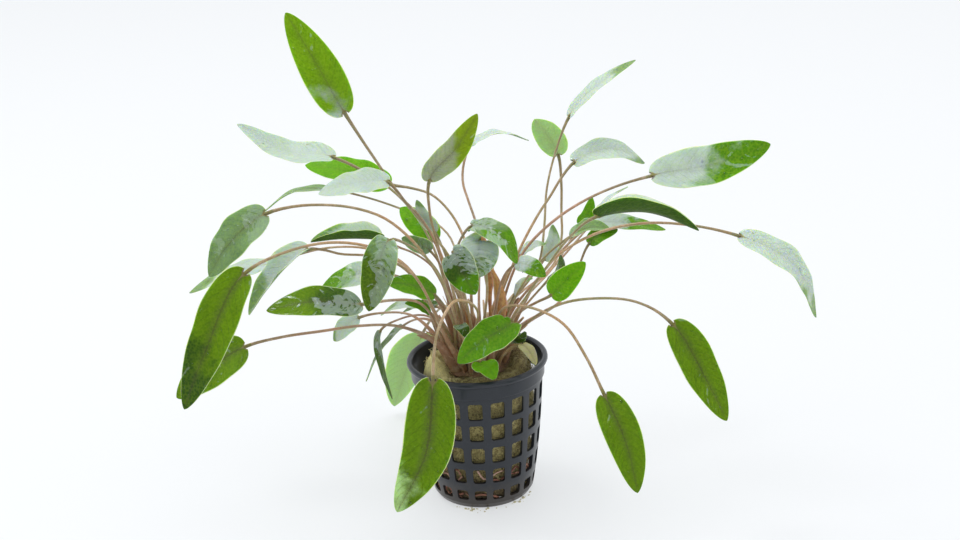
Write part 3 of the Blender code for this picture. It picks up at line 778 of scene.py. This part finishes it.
bm = bmesh.new()
bm.from_mesh(frame["nodes"]["rock_wool"].data)
bmesh.ops.remove_doubles(bm, verts=bm.verts, dist=0.000001)
wool_mesh = bpy.data.meshes.new("mineral_wool")
bm.to_mesh(wool_mesh)
bm.free()
wool = new_object("mineral_wool", wool_mesh)
remesh = wool.modifiers.new("felt", "REMESH")
remesh.mode = "VOXEL"
remesh.voxel_size = wool_grid
apply_tree(wool)
wool.data.materials.clear()
wool.data.materials.append(wool_finish)
normals = [vert.normal.copy() for vert in wool.data.vertices]
for vert, normal in zip(wool.data.vertices, normals):
    rough = noise.fractal(vert.co * 260.0, 0.9, 2.1, 4) + 0.6 * noise.noise(vert.co * 90.0)
    high = min(1.0, max(0.0, (vert.co.z - 0.044) / 0.004))
    outside = min(1.0, max(0.0, (math.hypot(vert.co.x, vert.co.y) - 0.0165) / 0.004))
    aside = (vert.co.x / 0.021) ** 2
    vert.co += normal * (rough * (1.0 + 0.9 * high) - 0.5) * 0.5 * MM
    vert.co.z -= wool_gap * high * outside * min(1.0, aside)
    for east_of, north_of, spread, rise in wool_lumps:
        distance = math.hypot(vert.co.x / MM - east_of, vert.co.y / MM - north_of) / spread
        vert.co.z += rise * MM * high * math.exp(-distance ** 4)
shown = wool.data.attributes.new("shown", "FLOAT", "POINT")
shown.data.foreach_set("value", [float(v.co.z > 0.004) for v in wool.data.vertices])
topside = wool.data.attributes.new("topside", "FLOAT", "POINT")
topside.data.foreach_set("value", [float(v.co.z > 0.048 and n.z > 0.3 and v.co.x > -0.010)
                                   for v, n in zip(wool.data.vertices, normals)])
wool.data.shade_smooth()
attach(wool, "root")
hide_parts("rock_wool")


# Wool fibres and moss: loose curled fibres lying on the whole plug, and short dark moss and
# root hairs over its top. One Geometry Nodes tree lays both, with its own values for each.
def fibre_recipe(name, attribute, finish):
    """A tree that lays short arcs on a surface where the named attribute is one."""
    tree, make, given = new_recipe(name, [
        ("Density", "NodeSocketFloat"), ("Length", "NodeSocketFloat"), ("Thickness", "NodeSocketFloat"),
        ("Lean", "NodeSocketFloat"), ("Bend", "NodeSocketFloat"), ("Seed", "NodeSocketInt")])
    wanted = make.node("GeometryNodeInputNamedAttribute", {"data_type": "FLOAT"}, {"Name": attribute})
    spread = make.node("GeometryNodeDistributePointsOnFaces", {}, {
        "Mesh": given["Geometry"], "Density": wanted * given["Density"], "Seed": given["Seed"]})
    outward = Value(make, spread.socket.node.outputs["Normal"])
    wander = make.node("FunctionNodeRandomValue", {"data_type": "FLOAT_VECTOR"}, {
        0: (-1.0, -1.0, -1.0), 1: (1.0, 1.0, 1.0), "Seed": given["Seed"]})
    wander = make.node("ShaderNodeVectorMath", {"operation": "SCALE"}, {0: wander, "Scale": given["Lean"]})
    upright = make.node("ShaderNodeVectorMath", {"operation": "ADD"}, {0: outward, 1: wander})
    standing = make.node("FunctionNodeAlignRotationToVector", {"axis": "Z"}, {"Vector": upright})
    spin = make.node("FunctionNodeRandomValue", {"data_type": "FLOAT"}, {
        2: 0.0, 3: math.tau, "Seed": given["Seed"]}, 1)
    standing = make.node("FunctionNodeRotateRotation", {"rotation_space": "LOCAL"}, {
        "Rotation": standing, "Rotate By": make.node("ShaderNodeCombineXYZ", {}, {"Z": spin})})
    arc = make.node("GeometryNodeCurveArc", {"mode": "RADIUS"}, {
        "Resolution": 6, "Radius": given["Length"] / given["Bend"], "Sweep Angle": given["Bend"]})
    round_ = make.node("GeometryNodeCurvePrimitiveCircle", {}, {"Resolution": 3, "Radius": given["Thickness"]})
    strand = make.node("GeometryNodeCurveToMesh", {}, {"Curve": arc, "Profile Curve": round_, "Fill Caps": True})
    size = make.node("FunctionNodeRandomValue", {"data_type": "FLOAT"}, {
        2: 0.55, 3: 1.2, "Seed": given["Seed"]}, 1)
    copies = make.node("GeometryNodeInstanceOnPoints", {}, {
        "Points": spread, "Instance": strand, "Rotation": standing, "Scale": size})
    end_recipe(tree, make, copies, finish)
    return tree


fibre_finish, make, shader = new_finish("wool_fibre")
place = make.node("ShaderNodeTexCoord", output=3)
east = make.node("ShaderNodeSeparateXYZ", {}, {0: place}, 0)
height = make.node("ShaderNodeSeparateXYZ", {}, {0: place}, 2)
tint = make.noise(700.0, place, 2.0)
fibre_colour = make.blend(make.step(tint, 0.35, 0.65), (0.30, 0.23, 0.07), (0.74, 0.65, 0.32))
fibre_colour = make.blend(make.step(east, -0.012, -0.004) * 0.45, fibre_colour, (0.19, 0.17, 0.06))
crest = (1.0 - make.step(east, -0.012, -0.008)) * make.step(height, 0.049, 0.052)
fibre_colour = make.blend(crest * 0.7, fibre_colour, (0.97, 0.88, 0.46))
make.feed(shader.inputs["Base Color"], fibre_colour)
make.feed(shader.inputs["Roughness"], 0.6 + tint * 0.3)

moss_finish, make, shader = new_finish("brown_moss")
tint = make.noise(600.0, make.node("ShaderNodeTexCoord", output=3), 3.0)
moss_colour = make.node("ShaderNodeValToRGB", {"stops": [
    (0.30, (0.070, 0.045, 0.020)), (0.48, (0.190, 0.135, 0.055)), (0.60, (0.230, 0.200, 0.060)),
    (0.70, (0.420, 0.300, 0.160))]}, {0: tint})
make.feed(shader.inputs["Base Color"], moss_colour)
make.feed(shader.inputs["Roughness"], 0.6 + tint * 0.3)

for name, attribute, finish, values in [
        ("wool_fibres", "shown", fibre_finish, dict(Density=3.6e5, Length=0.0042, Thickness=0.00007,
                                                    Lean=0.45, Bend=1.7, Seed=3)),
        ("moss_and_hairs", "topside", moss_finish, dict(Density=1.1e6, Length=0.0028, Thickness=0.00009,
                                                        Lean=1.1, Bend=1.2, Seed=8))]:
    tufts = new_object(name, wool.data.copy())
    use_recipe(tufts, fibre_recipe(name, attribute, finish), **values)
    apply_tree(tufts)
    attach(tufts, "root")


# Crown: the short rootstock on the wool, out of which the stalks grow. Its dome is rough,
# and stands in a collar of dead sheaths, torn old stalks and two rolled young leaves.
crown_finish, make, shader = new_finish("crown_skin", Specular_IOR_Level=0.4)
place = make.node("ShaderNodeTexCoord", output=3)
fibre = make.noise(500.0, place, 5.0, 0.7, 1.0)
make.feed(shader.inputs["Base Color"], make.blend(fibre, (0.060, 0.030, 0.014), (0.300, 0.170, 0.095)))
make.feed(shader.inputs["Roughness"], 0.55 + fibre * 0.3)
make.feed(shader.inputs["Normal"], make.node(
    "ShaderNodeBump", {}, {"Strength": 0.7, "Distance": 0.0005, "Height": fibre}))
low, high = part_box("crown")
crown_radius = high.x
crown_rings = 20
crown_facets = 96
crown_points = [(0.0, 0.0, high.z)]
for ring in range(1, crown_rings + 1):
    share = ring / crown_rings
    for k in range(crown_facets):
        angle = math.tau * k / crown_facets
        spot = Vector((math.cos(angle), math.sin(angle), 0.0)) * crown_radius * share
        lump = noise.fractal(spot * 400.0, 0.8, 2.1, 3) * 0.8 * MM * share
        z = low.z + (high.z - low.z) * (1.0 - share ** 2.0) + lump
        spot *= 1.0 + 0.12 * share * noise.noise(spot * 300.0)
        crown_points.append((spot.x, spot.y, min(max(z, low.z + 0.2 * MM), high.z)))
crown_points.append((0.0, 0.0, low.z))
crown_faces = [(0, 1 + k, 1 + (k + 1) % crown_facets) for k in range(crown_facets)]
for ring in range(crown_rings - 1):
    a, b = 1 + ring * crown_facets, 1 + (ring + 1) * crown_facets
    for k in range(crown_facets):
        n = (k + 1) % crown_facets
        crown_faces.append((a + k, b + k, b + n, a + n))
rim_start = 1 + (crown_rings - 1) * crown_facets
crown_faces += [(rim_start + (k + 1) % crown_facets, rim_start + k, len(crown_points) - 1)
                for k in range(crown_facets)]
crown_mesh = bpy.data.meshes.new("crown_dome")
crown_mesh.from_pydata(crown_points, [], crown_faces)
crown_mesh.shade_smooth()
crown = new_object("crown_dome", crown_mesh, crown_finish)
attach(crown, "root")
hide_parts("crown")


def add_strap(store, controls, widths, depth, facing, curl=0.0, tint=0.5, rings=20, around=12):
    """Adds a closed oval strap to a store of points, faces and tints. It runs smoothly through
    the control points, given in millimetres, takes its half widths evenly from the list, and
    curls up at its edges by a share of its half width."""
    controls = np.array(controls, float) * MM
    places = np.concatenate([[0.0], np.cumsum(np.linalg.norm(np.diff(controls, axis=0), axis=1))])
    centre = along_curve(places, controls, np.linspace(0.0, places[-1], rings))
    ahead = unit(np.gradient(centre, axis=0))
    side = unit(np.cross(ahead, np.array(facing, float)))
    up = np.cross(side, ahead)
    wide = np.interp(np.linspace(0, 1, rings), np.linspace(0, 1, len(widths)), widths) * MM
    deep = np.minimum(wide * 0.95, depth * MM)
    steps = np.arange(around) / around * math.tau
    start = len(store["points"])
    for k in range(rings):
        lift = deep[k] * np.sin(steps) + curl * wide[k] * np.cos(steps) ** 2
        ring = centre[k] + np.outer(wide[k] * np.cos(steps), side[k]) + np.outer(lift, up[k])
        store["points"] += ring.tolist()
    for k in range(rings - 1):
        a, b = start + k * around, start + (k + 1) * around
        for j in range(around):
            n = (j + 1) % around
            store["faces"].append((a + j, a + n, b + n, b + j))
    last = start + (rings - 1) * around
    store["faces"].append(tuple(range(start + around - 1, start - 1, -1)))
    store["faces"].append(tuple(range(last, last + around)))
    store["tints"] += [tint] * (rings * around)


def strap_piece(name, store, finish):
    """The piece made of the straps in a store."""
    mesh = bpy.data.meshes.new(name)
    mesh.from_pydata(store["points"], [], store["faces"])
    tints = mesh.attributes.new("tint", "FLOAT", "POINT")
    tints.data.foreach_set("value", store["tints"])
    bm = bmesh.new()
    bm.from_mesh(mesh)
    bmesh.ops.recalc_face_normals(bm, faces=bm.faces)
    bm.to_mesh(mesh)
    bm.free()
    mesh.shade_smooth()
    piece = new_object(name, mesh, finish)
    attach(piece, "root")


old_finish, make, shader = new_finish("old_stalk", Specular_IOR_Level=0.4, Subsurface_Weight=0.25,
                                      Subsurface_Scale=0.0008)
place = make.node("ShaderNodeTexCoord", output=3)
tint = make.node("ShaderNodeAttribute", {"attribute_name": "tint"}, output=2)
weave = make.noise(900.0, place, 4.0, 0.7)
old_colour = make.node("ShaderNodeValToRGB", {"stops": [
    (0.00, (0.110, 0.060, 0.030)), (0.30, (0.300, 0.165, 0.095)), (0.55, (0.430, 0.270, 0.155)),
    (0.80, (0.520, 0.390, 0.230)), (1.00, (0.620, 0.510, 0.340))]}, {0: tint + (weave - 0.5) * 0.5})
make.feed(shader.inputs["Base Color"], old_colour)
make.feed(shader.inputs["Roughness"], 0.36 + weave * 0.3)
make.feed(shader.inputs["Normal"], make.node(
    "ShaderNodeBump", {}, {"Strength": 0.4, "Distance": 0.0002, "Height": weave}))
rng = np.random.default_rng(11)
old_stalks = {"points": [], "faces": [], "tints": []}
for number in range(58):
    angle = 2.39996 * number + rng.uniform(-0.2, 0.2)
    start = 2.0 + 7.6 * math.sqrt((number + 0.5) / 58)
    lean = math.radians(4.0 + 2.7 * start + rng.uniform(-6.0, 7.0))
    length = rng.uniform(8.0, 30.0) * (1.2 - 0.06 * start)
    out = np.array([math.cos(angle), math.sin(angle), 0.0])
    aside = np.array([-out[1], out[0], 0.0]) * rng.uniform(-0.35, 0.35)
    foot = out * start + [0.0, 0.0, 51.0]
    middle = foot + (out * math.sin(lean) * 0.75 + aside * 0.4) * length * 0.5
    middle[2] += math.cos(lean) * length * 0.56
    end = foot + (out * math.sin(lean) * 1.15 + aside) * length
    end[2] += math.cos(lean) * length
    broad = rng.uniform(0.45, 1.0) * (1.0 if number % 3 else 1.9)
    widths = [broad * 1.5, broad * 1.25, broad, broad * 0.8, broad * 0.55, broad * rng.uniform(0.1, 0.5)]
    add_strap(old_stalks, [foot - [0, 0, 2.0], foot, middle, end], widths, rng.uniform(0.3, 0.55),
              out, curl=rng.uniform(0.1, 0.6), tint=rng.uniform(0.15, 0.75) + 0.03 * start)
strap_piece("old_stalks", old_stalks, old_finish)

young_finish, make, shader = new_finish("rolled_young_leaf", Specular_IOR_Level=0.4,
                                        Subsurface_Weight=0.6, Subsurface_Scale=0.001, Coat_Roughness=0.1)
place = make.node("ShaderNodeTexCoord", output=3)
tint = make.node("ShaderNodeAttribute", {"attribute_name": "tint"}, output=2)
vein = make.noise(700.0, place, 3.0, 0.6)
young_colour = make.blend(tint, (0.45, 0.225, 0.070), (0.52, 0.290, 0.075))
make.feed(shader.inputs["Base Color"], make.blend(make.step(vein, 0.40, 0.66) * 0.7, young_colour,
                                                  (0.30, 0.11, 0.04)))
make.feed(shader.inputs["Roughness"], 0.25 + vein * 0.2)
make.feed(shader.inputs["Coat Weight"], 0.4 + vein * 0.3)
young = {"points": [], "faces": [], "tints": []}
add_strap(young, [(8.2, -3.5, 60.0), (9.2, -4.4, 72.0), (8.2, -4.8, 84.0), (6.0, -4.4, 92.5)],
          [0.6, 0.8, 2.0, 2.5, 2.2, 1.5, 0.7, 0.08], 0.5, (0.25, 1.0, 0.1), curl=0.9, tint=0.9)
add_strap(young, [(5.6, 1.0, 66.0), (5.4, 2.0, 84.0), (4.4, 3.0, 97.0), (0.8, 3.2, 103.5)],
          [0.6, 0.6, 0.9, 1.9, 2.1, 1.6, 0.9, 0.1], 0.5, (0.35, 1.0, 0.2), curl=0.8, tint=0.4)
add_strap(young, [(-1.0, -3.0, 56.0), (-2.0, -3.6, 66.0), (-4.2, -4.4, 79.0)],
          [0.8, 1.2, 1.3, 0.9, 0.4, 0.08], 0.6, (0.0, 1.0, 0.0), curl=0.7, tint=0.1)
strap_piece("rolled_young_leaves", young, young_finish)


# Roots: pale and red-brown roots that wind over the wool just inside the lowest windows,
# and a few crumbs of wool that have fallen on the table round the pot's foot.
root_finish, make, shader = new_finish("root_skin", Specular_IOR_Level=0.5)
tint = make.node("ShaderNodeAttribute", {"attribute_name": "tint"}, output=2)
grain = make.noise(900.0, make.node("ShaderNodeTexCoord", output=3), 3.0)
root_colour = make.node("ShaderNodeValToRGB", {"stops": [
    (0.0, (0.130, 0.045, 0.030)), (0.5, (0.340, 0.150, 0.095)), (0.85, (0.560, 0.330, 0.250)),
    (1.0, (0.660, 0.500, 0.420))]}, {0: tint + (grain - 0.5) * 0.4})
make.feed(shader.inputs["Base Color"], root_colour)
make.feed(shader.inputs["Roughness"], 0.35 + grain * 0.3)
rng = np.random.default_rng(5)
roots = {"points": [], "faces": [], "tints": []}
for number in range(46):
    angle = rng.uniform(0.0, math.tau)
    height = 3.6 + 15.0 * rng.uniform(0.0, 1.0) ** 2.2
    sweep = rng.uniform(0.25, 0.9) * rng.choice([-1.0, 1.0])
    winding = []
    for k in range(6):
        turn = angle + sweep * k / 5
        level = min(24.0, max(3.0, height + rng.uniform(-1.6, 1.6) + (k - 2.5) * rng.uniform(-0.5, 0.9)))
        reach = 17.75 + 0.128 * (level - 3.0) - rng.uniform(0.0, 0.5)
        winding.append((reach * math.cos(turn), reach * math.sin(turn), level))
    thick = rng.uniform(0.16, 0.5)
    add_strap(roots, winding, [thick, thick * 0.95, thick * 0.8, thick * 0.35], thick,
              (0.0, 0.0, 1.0), tint=rng.uniform(0.1, 1.0), rings=24, around=7)
strap_piece("roots", roots, root_finish)

crumb_points = []
crumb_faces = []
for number in range(34):
    angle = rng.normal(-1.75 if number % 2 else -0.75, 0.22)
    reach = 18.2 + abs(rng.normal(0.0, 1.2))
    spot = Vector((reach * math.cos(angle), reach * math.sin(angle), 0.0)) * MM
    size = rng.uniform(0.15, 0.65) * MM
    bm = bmesh.new()
    bmesh.ops.create_icosphere(bm, subdivisions=1, radius=size)
    start = len(crumb_points)
    for vert in bm.verts:
        grown = vert.co * (1.0 + 0.6 * noise.noise(vert.co * 3000.0 + Vector((number, 0.0, 0.0))))
        grown.z *= 0.6
        crumb_points.append(tuple(grown + spot + Vector((0.0, 0.0, size))))
    lowest = min(point[2] for point in crumb_points[start:])
    crumb_points[start:] = [(x, y, z - lowest + 0.02 * MM) for x, y, z in crumb_points[start:]]
    crumb_faces += [[start + vert.index for vert in face.verts] for face in bm.faces]
    bm.free()
crumb_mesh = bpy.data.meshes.new("fallen_crumbs")
crumb_mesh.from_pydata(crumb_points, [], crumb_faces)
crumb_finish, make, shader = new_finish("wool_crumb")
grain = make.noise(1500.0, make.node("ShaderNodeTexCoord", output=3), 2.0)
make.feed(shader.inputs["Base Color"], make.blend(grain, (0.36, 0.30, 0.14), (0.74, 0.70, 0.52)))
make.feed(shader.inputs["Roughness"], 0.7 + grain * 0.2)
crumbs = new_object("fallen_crumbs", crumb_mesh, crumb_finish)
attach(crumbs, "root")


# Droplets: small domes of clear water left on the upper sides of the blades.
droplet_finish, make, shader = new_finish("water", Roughness=0.02, IOR=1.33, Transmission_Weight=1.0)
blades = bmesh.new()
for node in leaf_nodes:
    blades.from_mesh(bpy.data.objects[node[len("leaf_"):]].data)
growth_layer = blades.verts.layers.float["growth"]
under_layer = blades.verts.layers.float["under"]
inner = [face for face in blades.faces if all(
    vert[growth_layer] > 0.05 and vert[under_layer] < 0.5 for vert in face.verts)]
inner = set(inner)
bmesh.ops.delete(blades, geom=[face for face in blades.faces if face not in inner], context="FACES")
blade_tops = bpy.data.meshes.new("droplets")
blades.to_mesh(blade_tops)
blades.free()
tree, make, given = new_recipe("droplets", [
    ("Density", "NodeSocketFloat"), ("Radius", "NodeSocketFloat"), ("Seed", "NodeSocketInt")])
spread = make.node("GeometryNodeDistributePointsOnFaces", {}, {
    "Mesh": given["Geometry"], "Density": given["Density"], "Seed": given["Seed"]})
outward = Value(make, spread.socket.node.outputs["Normal"])
standing = make.node("FunctionNodeAlignRotationToVector", {"axis": "Z"}, {"Vector": outward})
drop = make.node("GeometryNodeMeshIcoSphere", {}, {"Radius": given["Radius"], "Subdivisions": 2})
drop = make.node("GeometryNodeTransform", {}, {"Geometry": drop, "Scale": (1.0, 1.0, 0.5)})
drop = make.node("GeometryNodeSetShadeSmooth", {}, {"Geometry": drop})
chance = make.node("FunctionNodeRandomValue", {"data_type": "FLOAT"}, {2: 0.0, 3: 1.0, "Seed": 2}, 1)
copies = make.node("GeometryNodeInstanceOnPoints", {}, {
    "Points": spread, "Instance": drop, "Rotation": standing, "Scale": 0.35 + 0.9 * chance ** 3.0})
end_recipe(tree, make, copies, droplet_finish)
droplets = new_object("droplets", blade_tops)
use_recipe(droplets, tree, Density=13000.0, Radius=0.55 * MM, Seed=4)
apply_tree(droplets)
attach(droplets, "root")
